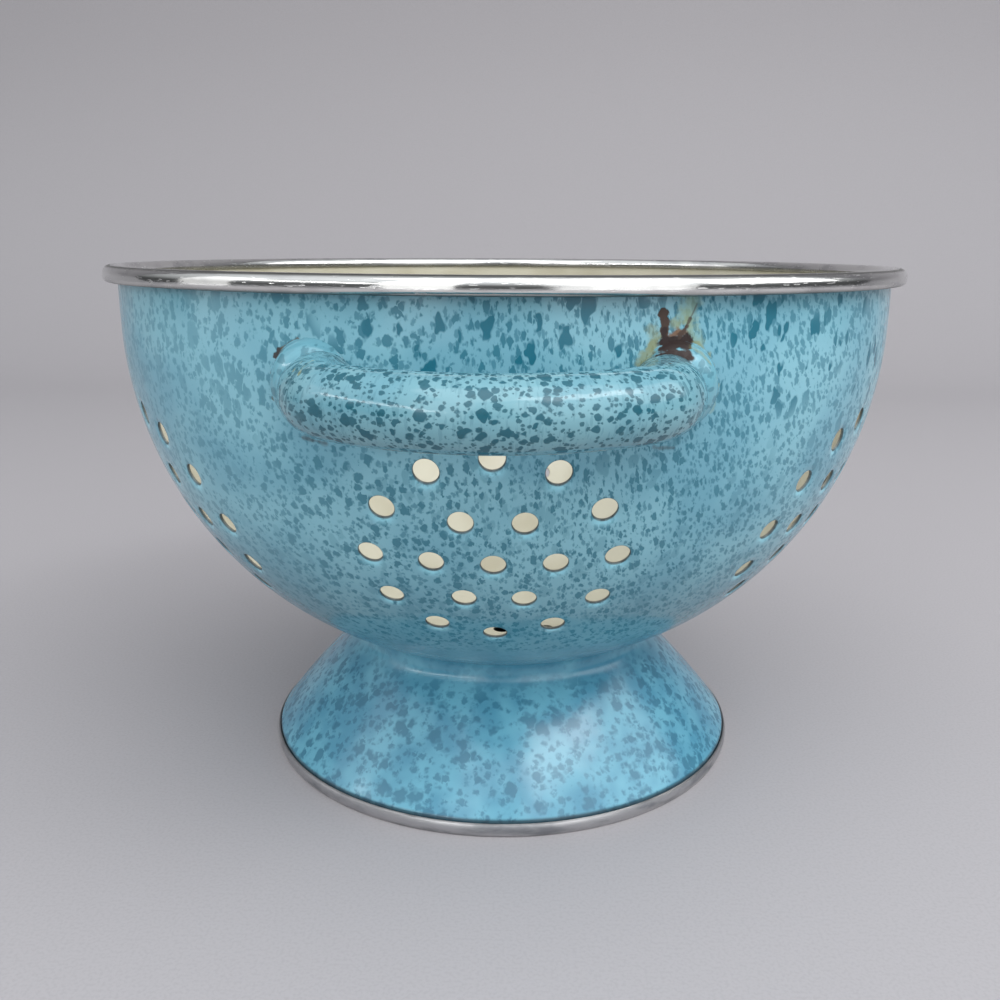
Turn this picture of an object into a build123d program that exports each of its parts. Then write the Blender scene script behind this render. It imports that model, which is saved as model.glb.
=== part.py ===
from build123d import *
from math import asin, cos, degrees, radians, sin, sqrt
import os

# A footed enamelled steel colander. Millimetres, +Z up, the origin on the table at the centre
# of the foot. The handles stand at -Y (front) and +Y (back).

# Bowl: a flat centre, one arc up to the widest point, then a straight wall
wall = 1.1
bowl_r = 116.0
base_flat_r = 6.0
base_z = 31.3
bowl_straight = 15.3

# The turned-over edge of the bowl, and the stainless band that is crimped over it
edge_bend_r = 0.6
edge_flat = 1.1
trim_sheet = 0.5
trim_gap = 0.1
trim_lip_gap = 0.5
trim_turn_r = 1.3
trim_face = 0.8
trim_inner_face = 1.1

# Drain holes: rosettes of a middle hole in two rings of holes round the wall, and in one ring in
# the base. The first ring has six holes, the second twelve.
hole_d = 6.0
hole_pitch = 14.8
first_ring_holes = 6
wall_rings = 2
base_rings = 1
rosettes = 6
rosette_angle = 61.6
punch_depth = 12.0

# Foot: a flared skirt with a seat that is welded under the bowl, and its own crimped band
seat_width = 5.7
neck_r = 46.2
bead_reach = 4.2
bead_dip = 0.9
bead_share = 0.12
skirt_crown = 0.9
foot_edge_r = 76.8
foot_trim_height = 4.4
foot_trim_inner_height = 3.4
foot_trim_bulge = 1.2
foot_trim_flat = 1.6

# Handle: a bent tube with a collar at each end, welded to the wall of the bowl
tube_d = 15.7
handle_drop = 25.3
handle_stand = 23.4
handle_tilt = 2.4
leg_x = 37.4
corner_r = 16.0
bow_r = 54.0
collar_step = 2.35
collar_shift = 1.8
collar_rise = 4.2
collar_round = 6.0

# Worked out from the sizes above
hole_r = hole_d / 2
bowl_curve_r = bowl_r - base_flat_r
bowl_centre_z = base_z + bowl_curve_r
height = bowl_centre_z + bowl_straight
flange_z = height - trim_sheet - trim_gap - wall
bend_z = flange_z - edge_bend_r
lip_r = bowl_r + edge_bend_r + edge_flat + edge_bend_r
rim_r = lip_r + wall + trim_gap + trim_sheet
fold_r = edge_bend_r + wall + trim_gap + trim_sheet
rim_under_z = height - fold_r - trim_face - trim_turn_r
lip_end_z = rim_under_z + trim_sheet + trim_lip_gap
seat_inner_r = neck_r - seat_width
foot_edge_height = foot_trim_height + trim_lip_gap
tube_r = tube_d / 2
collar_r = tube_r + collar_step
handle_z = height - handle_drop
handle_reach = bowl_r + handle_stand


def bowl_height(r):
    """Height of the bowl's outer skin at the radius r."""
    return bowl_centre_z - sqrt(bowl_curve_r**2 - (r - base_flat_r) ** 2)


def bowl_radius(z):
    """Radius of the bowl's outer skin at the height z."""
    below = max(bowl_centre_z - z, 0)
    return base_flat_r + sqrt(bowl_curve_r**2 - below**2)


def bowl_skin(depth):
    """The bowl's skin at a depth in the sheet, from the centre of the base to its straight top."""
    flat = Line((0, base_z + depth), (base_flat_r, base_z + depth))
    curve = JernArc(start=flat @ 1, tangent=(1, 0), radius=bowl_curve_r - depth, arc_size=90)
    return Line(curve @ 1, (bowl_r - depth, bend_z))


def rosette(rings):
    """One hole in the middle of rings of holes, each one pitch further out than the last."""
    Circle(hole_r)
    for ring in range(1, rings + 1):
        with PolarLocations(ring * hole_pitch, ring * first_ring_holes):
            Circle(hole_r)


os.makedirs("parts", exist_ok=True)

# The bowl is one sheet. Its edge turns outwards and down, so that the band has a hold.
with BuildPart() as bowl:
    with BuildSketch(Plane.XZ):
        with BuildLine():
            outside = bowl_skin(0)
            bend = JernArc(start=outside @ 1, tangent=(0, 1), radius=edge_bend_r, arc_size=-90)
            flange = Line(bend @ 1, (lip_r - edge_bend_r, flange_z))
            turn = JernArc(start=flange @ 1, tangent=(1, 0), radius=edge_bend_r, arc_size=-90)
            lip = Line(turn @ 1, (lip_r, lip_end_z))
            lip_end = Line(lip @ 1, (lip_r + wall, lip_end_z))
            lip_face = Line(lip_end @ 1, (lip_r + wall, bend_z))
            over = JernArc(start=lip_face @ 1, tangent=(0, 1), radius=edge_bend_r + wall, arc_size=90)
            top = Line(over @ 1, (bowl_r + edge_bend_r, flange_z + wall))
            JernArc(start=top @ 1, tangent=(-1, 0), radius=edge_bend_r + wall, arc_size=90)
            bowl_skin(wall)
            Line((0, base_z), (0, base_z + wall))
        make_face()
    revolve(axis=Axis.Z)
    out = sin(radians(rosette_angle))
    down = cos(radians(rosette_angle))
    punch_r = base_flat_r + bowl_curve_r * out
    punch_z = bowl_centre_z - bowl_curve_r * down
    for i in range(rosettes):
        turned = radians(360 * i / rosettes - 90)
        ahead = Vector(cos(turned), sin(turned), 0)
        aside = Vector(-sin(turned), cos(turned), 0)
        normal = ahead * out - Vector(0, 0, down)
        with BuildSketch(Plane(ahead * punch_r + Vector(0, 0, punch_z), x_dir=aside, z_dir=normal)):
            rosette(wall_rings)
        extrude(amount=punch_depth, both=True, mode=Mode.SUBTRACT)
    with BuildSketch(Plane.XY.offset(base_z)):
        rosette(base_rings)
    extrude(amount=punch_depth, both=True, mode=Mode.SUBTRACT)
bowl.part.label = "bowl"

# The band goes over the turned edge, down inside the wall, and under the edge outside.
with BuildPart() as rim_trim:
    inner_r = bowl_r - wall - trim_gap - trim_sheet
    inner_z = height - fold_r - trim_inner_face
    with BuildSketch(Plane.XZ):
        with BuildLine():
            inside = Line((inner_r, inner_z), (inner_r, height - fold_r))
            fold = JernArc(start=inside @ 1, tangent=(0, 1), radius=fold_r, arc_size=-90)
            top = Line(fold @ 1, (rim_r - fold_r, height))
            shoulder = JernArc(start=top @ 1, tangent=(1, 0), radius=fold_r, arc_size=-90)
            face = Line(shoulder @ 1, (rim_r, rim_under_z + trim_turn_r))
            under = JernArc(start=face @ 1, tangent=(0, -1), radius=trim_turn_r, arc_size=-90)
            Line(under @ 1, (bowl_r + trim_gap, rim_under_z))
            offset(amount=trim_sheet, side=Side.RIGHT)
        make_face()
    revolve(axis=Axis.Z)
rim_trim.part.label = "rim_trim"

# The foot is one sheet from its seat under the bowl to its upright edge, with the weld's bead.
with BuildPart() as foot:
    with BuildSketch(Plane.XZ):
        with BuildLine():
            seat = ThreePointArc(
                (seat_inner_r, bowl_height(seat_inner_r)),
                ((seat_inner_r + neck_r) / 2, bowl_height((seat_inner_r + neck_r) / 2)),
                (neck_r, bowl_height(neck_r)),
            )
            skirt = SagittaArc(seat @ 1, (foot_edge_r, foot_edge_height), skirt_crown)
            Line(skirt @ 1, (foot_edge_r, trim_sheet))
            offset(amount=wall, side=Side.RIGHT)
        make_face()
        with BuildLine():
            bead_r = neck_r + bead_reach
            bead_mid_r = neck_r + bead_reach / 2
            upper = ThreePointArc(
                (neck_r, bowl_height(neck_r)),
                (bead_mid_r, bowl_height(bead_mid_r)),
                (bead_r, bowl_height(bead_r)),
            )
            throat = SagittaArc(upper @ 1, skirt @ bead_share, -bead_dip)
            Line(throat @ 1, upper @ 0)
        make_face()
    revolve(axis=Axis.Z)
foot.part.label = "foot"

# The foot's band stands under the edge of the skirt and closes on it from both sides.
with BuildPart() as foot_trim:
    hold = trim_gap + trim_sheet
    outer_top = foot_edge_r + hold
    inner_top = foot_edge_r - wall - hold
    middle_r = foot_edge_r - wall / 2
    flat = foot_trim_flat / 2
    with BuildSketch(Plane.XZ):
        with BuildLine():
            outside = ThreePointArc(
                (outer_top, foot_trim_height),
                (foot_edge_r + foot_trim_bulge, foot_trim_height / 2),
                (middle_r + flat, 0),
            )
            rest = Line(outside @ 1, (middle_r - flat, 0))
            ThreePointArc(
                rest @ 1,
                (foot_edge_r - wall - foot_trim_bulge, foot_trim_inner_height / 2),
                (inner_top, foot_trim_inner_height),
            )
            offset(amount=trim_sheet, side=Side.RIGHT)
        make_face()
    revolve(axis=Axis.Z)
foot_trim.part.label = "foot_trim"

# The handle's tube runs leg, corner, bow, corner, leg, in one plane that rises a little towards
# the bowl. Lengths on that plane count from the front of the bow. The ends follow the skin.
tilt = radians(handle_tilt)
grip = Plane((0, -handle_reach, handle_z), x_dir=(1, 0, 0), z_dir=(0, -sin(tilt), cos(tilt)))
bow_half = degrees(asin((leg_x - corner_r) / (bow_r - corner_r)))
corner_turn = 90 - bow_half
corner_y = bow_r - sqrt((bow_r - corner_r) ** 2 - (leg_x - corner_r) ** 2)
skin_r = bowl_radius(handle_z)
weld_y = handle_reach - sqrt(skin_r**2 - leg_x**2)
leg_end_y = handle_reach - sqrt(skin_r**2 - (leg_x + collar_shift + collar_r) ** 2) + collar_r / 2

with BuildPart() as handle_front:
    with BuildLine(grip) as route:
        leg = Line((-leg_x, leg_end_y), (-leg_x, corner_y))
        corner = JernArc(start=leg @ 1, tangent=leg % 1, radius=corner_r, arc_size=corner_turn)
        bow = JernArc(start=corner @ 1, tangent=corner % 1, radius=bow_r, arc_size=2 * bow_half)
        far = JernArc(start=bow @ 1, tangent=bow % 1, radius=corner_r, arc_size=corner_turn)
        Line(far @ 1, grip.from_local_coords((leg_x, leg_end_y)))
    leg_plane = Plane(leg @ 0, x_dir=(1, 0, 0), z_dir=leg % 0)
    with BuildSketch(leg_plane):
        Circle(tube_r)
    sweep(path=route.wire())
    collar_top_y = weld_y - collar_rise
    collar_x = leg_x + collar_shift
    with BuildSketch(grip):
        with BuildLine():
            centre_line = Line((collar_x, leg_end_y), (collar_x, collar_top_y))
            brow = Line(centre_line @ 1, (collar_x + collar_r - collar_round, collar_top_y))
            crown = RadiusArc(
                brow @ 1, (collar_x + collar_r, collar_top_y + collar_round), -collar_round
            )
            side = Line(crown @ 1, (collar_x + collar_r, leg_end_y))
            Line(side @ 1, centre_line @ 0)
        make_face()
    revolve(axis=Axis(grip.from_local_coords((collar_x, 0)), grip.y_dir))
    mirror(about=Plane.YZ)
    with BuildSketch(leg_plane):
        Circle(tube_r - wall)
    sweep(path=route.wire(), mode=Mode.SUBTRACT)
    with BuildSketch(Plane.XZ):
        with BuildLine():
            skin = bowl_skin(0)
            lid = Line(skin @ 1, (0, bend_z))
            Line(lid @ 1, (0, base_z))
        make_face()
    revolve(axis=Axis.Z, mode=Mode.SUBTRACT)
handle_front.part.label = "handle_front"

with BuildPart() as handle_back:
    mirror(handle_front.part, about=Plane.XZ)
handle_back.part.label = "handle_back"

export_step(bowl.part, "parts/bowl.step")
export_step(rim_trim.part, "parts/rim_trim.step")
export_step(foot.part, "parts/foot.step")
export_step(foot_trim.part, "parts/foot_trim.step")
export_step(handle_front.part, "parts/handle_front.step")
export_step(handle_back.part, "parts/handle_back.step")
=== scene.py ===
"""Footed enamelled steel colander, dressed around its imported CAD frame.

Sizes are in metres on the CAD's own axes: the origin on the table at the centre of the foot, +Z up, and
the front handle at -Y. Every piece is worked out with numpy from the sizes of the real sheet and tube.
"""

from __future__ import annotations

import logging
import math
from dataclasses import dataclass, field
from enum import Enum
from typing import Callable, Sequence

import bpy
import numpy as np
from mathutils import Matrix
from mathutils.geometry import delaunay_2d_cdt


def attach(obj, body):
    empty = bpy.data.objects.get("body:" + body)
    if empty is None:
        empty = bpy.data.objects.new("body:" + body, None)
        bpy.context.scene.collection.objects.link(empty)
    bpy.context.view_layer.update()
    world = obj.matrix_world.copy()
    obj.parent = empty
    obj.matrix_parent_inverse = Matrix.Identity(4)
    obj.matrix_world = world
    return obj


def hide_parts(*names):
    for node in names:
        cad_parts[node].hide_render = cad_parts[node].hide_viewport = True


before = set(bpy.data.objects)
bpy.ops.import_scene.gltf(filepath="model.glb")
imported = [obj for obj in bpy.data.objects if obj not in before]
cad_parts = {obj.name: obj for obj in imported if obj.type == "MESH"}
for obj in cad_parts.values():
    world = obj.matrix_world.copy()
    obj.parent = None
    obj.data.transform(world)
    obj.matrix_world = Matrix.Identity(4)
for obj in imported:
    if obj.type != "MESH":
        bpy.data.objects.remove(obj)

LOG = logging.getLogger("colander")
MM = 0.001
TURN = 2 * math.pi
QUARTER = math.pi / 2
ROUND_STEPS = 288
TINY = 1e-9
# Both halves of a band count their length from the right, and this shift keeps their patterns apart.
HALF_SHIFT = 20 * MM
# Blender's noise lies about a middle and seldom strays further from it than the reach.
NOISE_MIDDLE = 0.5
NOISE_REACH = 0.25

Colour = tuple[float, float, float]
Range = tuple[float, float]
Triple = tuple[float, float, float]


def paint(red: int, green: int, blue: int) -> Colour:
    """A colour as painted, 0 to 255 on each channel, turned into the linear values a shader takes.

    Args:
        red, green, blue: The channels as a screen shows them.

    Returns:
        The same colour with its display curve taken off.
    """
    return tuple(
        c / 12.92 if c <= 0.04045 else ((c + 0.055) / 1.055) ** 2.4
        for c in (red / 255, green / 255, blue / 255)
    )


class Facing(Enum):
    """Which way a skin's triangles turn when they are seen from above the laid-out sheet."""

    UP = 1
    DOWN = -1


class Slot(Enum):
    """The record's material slots."""

    BOWL = "enamel_bowl"
    RIM = "polished_steel"
    FOOT = "enamel_foot"
    FOOT_BAND = "dull_steel"
    HANDLE = "enamel_handle"


class Side(Enum):
    """Where a handle stands: the front one at -Y, the back one its mirror image at +Y."""

    FRONT = 1
    BACK = -1


# Mesh helpers


def grid_faces(numbers: np.ndarray, closed: bool = True) -> np.ndarray:
    """Quads between the rows of a grid of point numbers.

    Args:
        numbers: Point numbers, shaped (rows, columns), or (pieces, rows, columns).
        closed: Whether the last column joins the first one.

    Returns:
        The quads, shaped (count, 4): (row, column), (row, next), (next row, next), (next row, column).
    """
    ahead = np.roll(numbers, -1, axis=-1)
    if not closed:
        numbers, ahead = numbers[..., :-1], ahead[..., :-1]
    corners = (numbers[..., :-1, :], ahead[..., :-1, :], ahead[..., 1:, :], numbers[..., 1:, :])
    return np.stack(corners, axis=-1).reshape(-1, 4)


def cap_faces(ring: np.ndarray, middle: int) -> np.ndarray:
    """Triangles from a closed ring of point numbers to one middle point."""
    return np.stack((ring, np.roll(ring, -1), np.full(len(ring), middle)), axis=-1)


def volume(points: np.ndarray, faces: Sequence[np.ndarray]) -> float:
    """Signed volume inside the faces: a sum of a . (b x c) / 6 over fans of triangles."""
    total = 0.0
    for block in faces:
        for k in range(1, block.shape[1] - 1):
            a, b, c = points[block[:, 0]], points[block[:, k]], points[block[:, k + 1]]
            total += float((a * np.cross(b, c)).sum()) / 6
    return total


def make_piece(
    name: str,
    points: np.ndarray,
    faces: Sequence[np.ndarray],
    marks: dict[str, np.ndarray] | None = None,
) -> bpy.types.Object:
    """Puts worked-out points and faces into a smooth mesh object whose faces point outwards.

    Args:
        name: Name of the piece.
        points: Points, shaped (count, 3), in metres.
        faces: Blocks of faces with the same number of corners in a block.
        marks: Values per point for the material, one number or three numbers a point.

    Returns:
        The object, at the origin.
    """
    if volume(points, faces) < 0:
        faces = [block[:, ::-1] for block in faces]
    mesh = bpy.data.meshes.new(name)
    sizes = np.concatenate([np.full(len(block), block.shape[1]) for block in faces])
    corners = np.concatenate([block.ravel() for block in faces])
    mesh.vertices.add(len(points))
    mesh.vertices.foreach_set("co", points.astype(np.float32).ravel())
    mesh.loops.add(len(corners))
    mesh.loops.foreach_set("vertex_index", corners.astype(np.int32))
    mesh.polygons.add(len(sizes))
    starts = np.concatenate(([0], np.cumsum(sizes)[:-1]))
    mesh.polygons.foreach_set("loop_start", starts.astype(np.int32))
    mesh.update(calc_edges=True)
    mesh.shade_smooth()
    for mark, values in (marks or {}).items():
        kind, key = ("FLOAT", "value") if values.ndim == 1 else ("FLOAT_VECTOR", "vector")
        layer = mesh.attributes.new(mark, kind, "POINT")
        layer.data.foreach_set(key, values.astype(np.float32).ravel())
    piece = bpy.data.objects.new(name, mesh)
    bpy.context.scene.collection.objects.link(piece)
    return piece


def on_circle(angle: np.ndarray) -> np.ndarray:
    """Points (cos a, sin a) for angles in radians."""
    return np.stack((np.cos(angle), np.sin(angle)), axis=-1)


def round_angles(steps: int = ROUND_STEPS) -> np.ndarray:
    """Angles of even steps round the axis."""
    return np.arange(steps) * TURN / steps


def run_length(line: np.ndarray) -> np.ndarray:
    """Length along a line of points from its first point to each one."""
    return np.concatenate(([0], np.cumsum(np.hypot(*np.diff(line, axis=0).T))))


def arc(middle: tuple[float, float], radius: float, start: float, end: float, steps: int) -> np.ndarray:
    """Points (r, z) on an arc about a middle, from one angle to another, in radians from +r."""
    return np.array(middle) + radius * on_circle(np.linspace(start, end, steps + 1))


def bulged(start: np.ndarray, end: np.ndarray, bulge: float, steps: int) -> np.ndarray:
    """Points on the arc from start to end whose middle stands off the chord by bulge, to its left.

    The arc's radius is (half chord squared + bulge squared) / (2 bulge); the points share its angle equally.
    """
    chord = end - start
    half = float(np.hypot(*chord)) / 2
    along = chord / (2 * half)
    left = np.array((-along[1], along[0]))
    radius = (half**2 + bulge**2) / (2 * bulge)
    spread = math.asin(half / radius)
    angle = np.linspace(-spread, spread, steps + 1)
    middle = (start + end) / 2 - left * (radius - bulge)
    return middle + np.outer(radius * np.sin(angle), along) + np.outer(radius * np.cos(angle), left)


def through(first: np.ndarray, second: np.ndarray, third: np.ndarray, steps: int) -> np.ndarray:
    """Points on the circle through three points, from the first by the second to the third."""
    ax, ay = second - first
    bx, by = third - first
    scale = 2 * (ax * by - ay * bx)
    a2, b2 = ax**2 + ay**2, bx**2 + by**2
    middle = first + np.array((by * a2 - ay * b2, ax * b2 - bx * a2)) / scale
    turns = [math.atan2(*(p - middle)[::-1]) for p in (first, second, third)]
    way = 1 if scale > 0 else -1
    sweep = way * ((way * (turns[2] - turns[0])) % TURN)
    radius = float(np.hypot(*(first - middle)))
    return arc(tuple(middle), radius, turns[0], turns[0] + sweep, steps)


def beside(line: np.ndarray, distance: float) -> np.ndarray:
    """A line of (r, z) points moved to its right by a distance, along the normal at each point."""
    run = np.gradient(line, axis=0)
    run /= np.hypot(run[:, 0], run[:, 1])[:, None]
    return line + distance * np.stack((run[:, 1], -run[:, 0]), axis=-1)


def revolved(profile: np.ndarray, steps: int = ROUND_STEPS) -> tuple[np.ndarray, np.ndarray, np.ndarray]:
    """Turns a closed profile about the Z axis: (r, z) at the angle a becomes (r cos a, r sin a, z).

    Args:
        profile: Points (r, z) round the section, the last one not the first one again.
        steps: Number of steps round the axis.

    Returns:
        The points shaped (profile, steps, 3), the angle of each step, and the quads.
    """
    angle = round_angles(steps)
    r, z = profile[:, :1], profile[:, 1:]
    points = np.stack((r * np.cos(angle), r * np.sin(angle), z + 0 * angle), axis=-1)
    numbers = np.arange(len(profile) * steps).reshape(len(profile), steps)
    return points, angle, grid_faces(np.vstack((numbers, numbers[:1])))


def folded_sheet(
    line: np.ndarray, thick: float, radius: float, push: Callable[[np.ndarray, np.ndarray], np.ndarray]
) -> tuple[np.ndarray, np.ndarray, np.ndarray, np.ndarray]:
    """Turns a folded sheet about the axis: its outer line, and the same line a sheet further in.

    Args:
        line: The outer line (r, z).
        thick: Thickness of the sheet.
        radius: Radius at which the length along the band is taken.
        push: Gives, from the profile and the angles, how far each point moves away from the axis.

    Returns:
        The points, the quads, the profile, and for each point its place along the band and across it, with
        a third number that tells one half of the band from the other.
    """
    profile = np.concatenate((line, beside(line, thick)[::-1]))
    points, angle, faces = revolved(profile)
    points[..., :2] += push(profile, angle)[..., None] * on_circle(angle)
    places = (
        radius * np.minimum(angle, TURN - angle), run_length(profile)[:, None], HALF_SHIFT * np.sin(angle)
    )
    wrap = np.stack([np.broadcast_to(place, points.shape[:2]) for place in places], axis=-1)
    return points.reshape(-1, 3), faces, profile, wrap.reshape(-1, 3)


def ripples(waves: Sequence[tuple[int, float, float]], angle: np.ndarray) -> np.ndarray:
    """Slow waves round the axis, from 0 at the most to about -2: (number of waves, share, start) each."""
    total = sum(share * np.sin(count * angle + start) for count, share, start in waves)
    highest = sum(share for _, share, _ in waves)
    return (total - highest) / highest


# Shader helpers


class Tone:
    """A shader socket that takes part in Python sums with other sockets and with numbers."""

    def __init__(self, board: "Board", socket: bpy.types.NodeSocket) -> None:
        """Keeps the socket and the board that its nodes are on."""
        self.board = board
        self.socket = socket

    def _sum(self, operation: str, first: "Tone | float", second: "Tone | float") -> "Tone":
        """One Math node on two values."""
        return self.board.add("ShaderNodeMath", {"operation": operation}, {0: first, 1: second})

    def __add__(self, other: "Tone | float") -> "Tone":
        """Sum."""
        return self._sum("ADD", self, other)

    def __sub__(self, other: "Tone | float") -> "Tone":
        """Difference."""
        return self._sum("SUBTRACT", self, other)

    def __rsub__(self, other: "Tone | float") -> "Tone":
        """Difference from a number."""
        return self._sum("SUBTRACT", other, self)

    def __mul__(self, other: "Tone | float") -> "Tone":
        """Product."""
        return self._sum("MULTIPLY", self, other)

    __radd__ = __add__
    __rmul__ = __mul__

    def or_more(self, other: "Tone | float") -> "Tone":
        """The larger of two values."""
        return self._sum("MAXIMUM", self, other)

    def or_less(self, other: "Tone | float") -> "Tone":
        """The smaller of two values."""
        return self._sum("MINIMUM", self, other)

    def above(self, low: float, high: float) -> "Tone":
        """0 up to low, 1 from high on, and a smooth step between them."""
        inputs = {"Value": self, "From Min": low, "From Max": high}
        return self.board.add("ShaderNodeMapRange", {"interpolation_type": "SMOOTHSTEP"}, inputs)

    def below(self, low: float, high: float) -> "Tone":
        """1 up to low, 0 from high on, and a smooth step between them."""
        return 1 - self.above(low, high)

    def within(self, low: float, high: float, soft: float) -> "Tone":
        """1 between low and high, and smoothly 0 outside them."""
        return self.above(low - soft, low + soft) * self.below(high - soft, high + soft)


@dataclass(frozen=True)
class Spray:
    """Sprayed drops: the distance between their middles, and shares of it.

    The shares are the radius of the largest drop, how far noise pushes the edges, and half the width of
    the soft edge. The smallest drop's radius is a share of the largest one's.
    """

    pitch: float
    largest: float
    ragged: float
    soft: float
    smallest: float = 0.2


class Board:
    """The node tree of one material."""

    stain_wander = 2.6
    stain_edge = 1.1

    def __init__(self, name: str) -> None:
        """Makes an empty material with its output node."""
        self.material = bpy.data.materials.new(name)
        self.material.use_nodes = True
        self.tree = self.material.node_tree
        self.tree.nodes.clear()
        self.output = self.tree.nodes.new("ShaderNodeOutputMaterial")
        self.where = self.add("ShaderNodeTexCoord", {}, {}, "Object")

    def add(self, kind: str, settings: dict, inputs: dict, output: str | int = 0) -> Tone:
        """Adds a node.

        Args:
            kind: Blender's name for the type of node.
            settings: Its own settings, set first.
            inputs: A value or a Tone for each socket, by name or number.
            output: Which output is handed back.

        Returns:
            That output as a Tone.
        """
        node = self.tree.nodes.new(kind)
        for key, value in settings.items():
            setattr(node, key, value)
        for key, value in inputs.items():
            if isinstance(value, Tone):
                self.tree.links.new(value.socket, node.inputs[key])
            elif isinstance(value, tuple) and node.inputs[key].type == "RGBA":
                node.inputs[key].default_value = (*value, 1)
            else:
                node.inputs[key].default_value = value
        return Tone(self, node.outputs[output])

    def vector(self, operation: str, first: Tone | tuple, second: Tone | tuple, output: int = 0) -> Tone:
        """One Vector Math node on two vectors."""
        return self.add("ShaderNodeVectorMath", {"operation": operation}, {0: first, 1: second}, output)

    def scaled(self, vector: Tone | tuple, amount: Tone | float) -> Tone:
        """A vector times a number."""
        settings = {"operation": "SCALE"}
        return self.add("ShaderNodeVectorMath", settings, {"Vector": vector, "Scale": amount})

    def parts(self, vector: Tone) -> tuple[Tone, Tone, Tone]:
        """The x, y and z of a vector."""
        node = self.add("ShaderNodeSeparateXYZ", {}, {0: vector}).socket.node
        return tuple(Tone(self, socket) for socket in node.outputs)

    def blend(self, first: Tone | Colour, second: Tone | Colour, share: Tone | float) -> Tone:
        """A colour between two colours; a share of 1 is the second one."""
        return self.add("ShaderNodeMix", {"data_type": "RGBA"}, {0: share, 6: first, 7: second}, 2)

    def mark(self, name: str, output: str = "Fac") -> Tone:
        """A value that the piece carries on its points."""
        return self.add("ShaderNodeAttribute", {"attribute_name": name}, {}, output)

    def cloud(self, where: Tone, size: float, detail: float = 2.0) -> Tone:
        """Soft noise about 0.5 whose lumps are about as wide as size."""
        return self.add("ShaderNodeTexNoise", {}, {"Vector": where, "Scale": 1 / size, "Detail": detail})

    def stretched(self, where: Tone, shares: Triple) -> Tone:
        """Coordinates times a share on each axis: marks on them are drawn out where the share is small."""
        return self.vector("MULTIPLY", where, shares)

    def warped(self, where: Tone, size: float, amount: float) -> Tone:
        """Coordinates pushed about by noise whose lumps are about as wide as size.

        Args:
            where: Coordinates on the piece.
            size: Width of the lumps.
            amount: About the longest push.

        Returns:
            The pushed coordinates.
        """
        inputs = {"Vector": where, "Scale": 1 / size, "Detail": 1.0}
        push = self.add("ShaderNodeTexNoise", {}, inputs, "Color")
        centred = self.vector("SUBTRACT", push, (NOISE_MIDDLE,) * 3)
        return self.vector("ADD", where, self.scaled(centred, amount / NOISE_REACH))

    def drops(self, where: Tone, spray: Spray) -> Tone:
        """Sprayed drops: cells of mixed sizes, pushed out of round by noise.

        A drop covers the points whose distance to its cell's middle is under its own radius, a random one
        between the smallest and the largest.

        Args:
            where: Coordinates on the piece.
            spray: Sizes of the drops.

        Returns:
            1 in a drop and 0 outside.
        """
        bent = self.warped(where, spray.pitch / 2, spray.ragged * spray.pitch)
        inputs = {"Vector": bent, "Scale": 1 / spray.pitch, "Randomness": 1.0}
        cell = self.add("ShaderNodeTexVoronoi", {}, inputs, "Distance")
        chance = self.parts(Tone(self, cell.socket.node.outputs["Color"]))[0]
        radius = spray.largest * (spray.smallest + (1 - spray.smallest) * chance)
        return (cell - radius).below(-spray.soft, spray.soft)

    def stroke(
        self, start: Sequence[float], end: Sequence[float], reach: float, soft: float, wander: Tone
    ) -> Tone:
        """A mark along a straight line on the piece.

        The nearest point of the line is start + t (end - start), with t kept between 0 and 1.

        Args:
            start: One end of the line, in metres.
            end: The other end.
            reach: Half the width of the mark.
            soft: Share of the reach over which the mark fades.
            wander: Noise about 0.5 that makes its edge uneven.

        Returns:
            1 on the mark and 0 away from it.
        """
        run = np.subtract(end, start)
        span = float(run @ run) or 1.0
        offset = self.vector("SUBTRACT", self.where, tuple(start))
        share = self.vector("DOT_PRODUCT", offset, tuple(run / span), 1).or_more(0.0).or_less(1.0)
        near = self.vector("SUBTRACT", offset, self.scaled(tuple(run), share))
        away = self.vector("LENGTH", near, (0.0, 0.0, 0.0), 1)
        uneven = away + (wander - NOISE_MIDDLE) * (self.stain_wander * reach)
        return uneven.below((self.stain_edge - soft) * reach, self.stain_edge * reach)

    def stained(self, colour: Tone, stains: Sequence["Stain"], wander: Tone) -> tuple[Tone, Tone]:
        """Lays marks over a colour.

        Args:
            colour: The colour under the marks.
            stains: The marks, each laid over the ones before it.
            wander: Noise about 0.5 that makes their edges uneven.

        Returns:
            The marked colour, and how worn each place is.
        """
        worn: Tone | None = None
        for stain in stains:
            ends = (np.array(stain.start) * MM, np.array(stain.end) * MM)
            spot = self.stroke(*ends, stain.reach * MM, stain.soft, wander) * stain.strength
            colour = self.blend(colour, stain.colour, spot)
            worn = spot if worn is None else worn.or_more(spot)
        return colour, worn

    def finish(
        self, base: Tone | Colour, rough: Tone | float, **sockets: Tone | float
    ) -> bpy.types.Material:
        """Joins a Principled shader to the output.

        Args:
            base: Base colour.
            rough: Roughness.
            **sockets: Other sockets, with _ for a space in their names.

        Returns:
            The finished material.
        """
        inputs = {"Base Color": base, "Roughness": rough}
        inputs |= {key.replace("_", " "): value for key, value in sockets.items()}
        shader = self.add("ShaderNodeBsdfPrincipled", {}, inputs)
        self.tree.links.new(shader.socket, self.output.inputs["Surface"])
        return self.material

    def bump(self, height: Tone, distance: float) -> Tone:
        """A normal bent by a height field."""
        return self.add("ShaderNodeBump", {}, {"Strength": 1.0, "Distance": distance, "Height": height})


# The bowl's sheet


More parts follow.
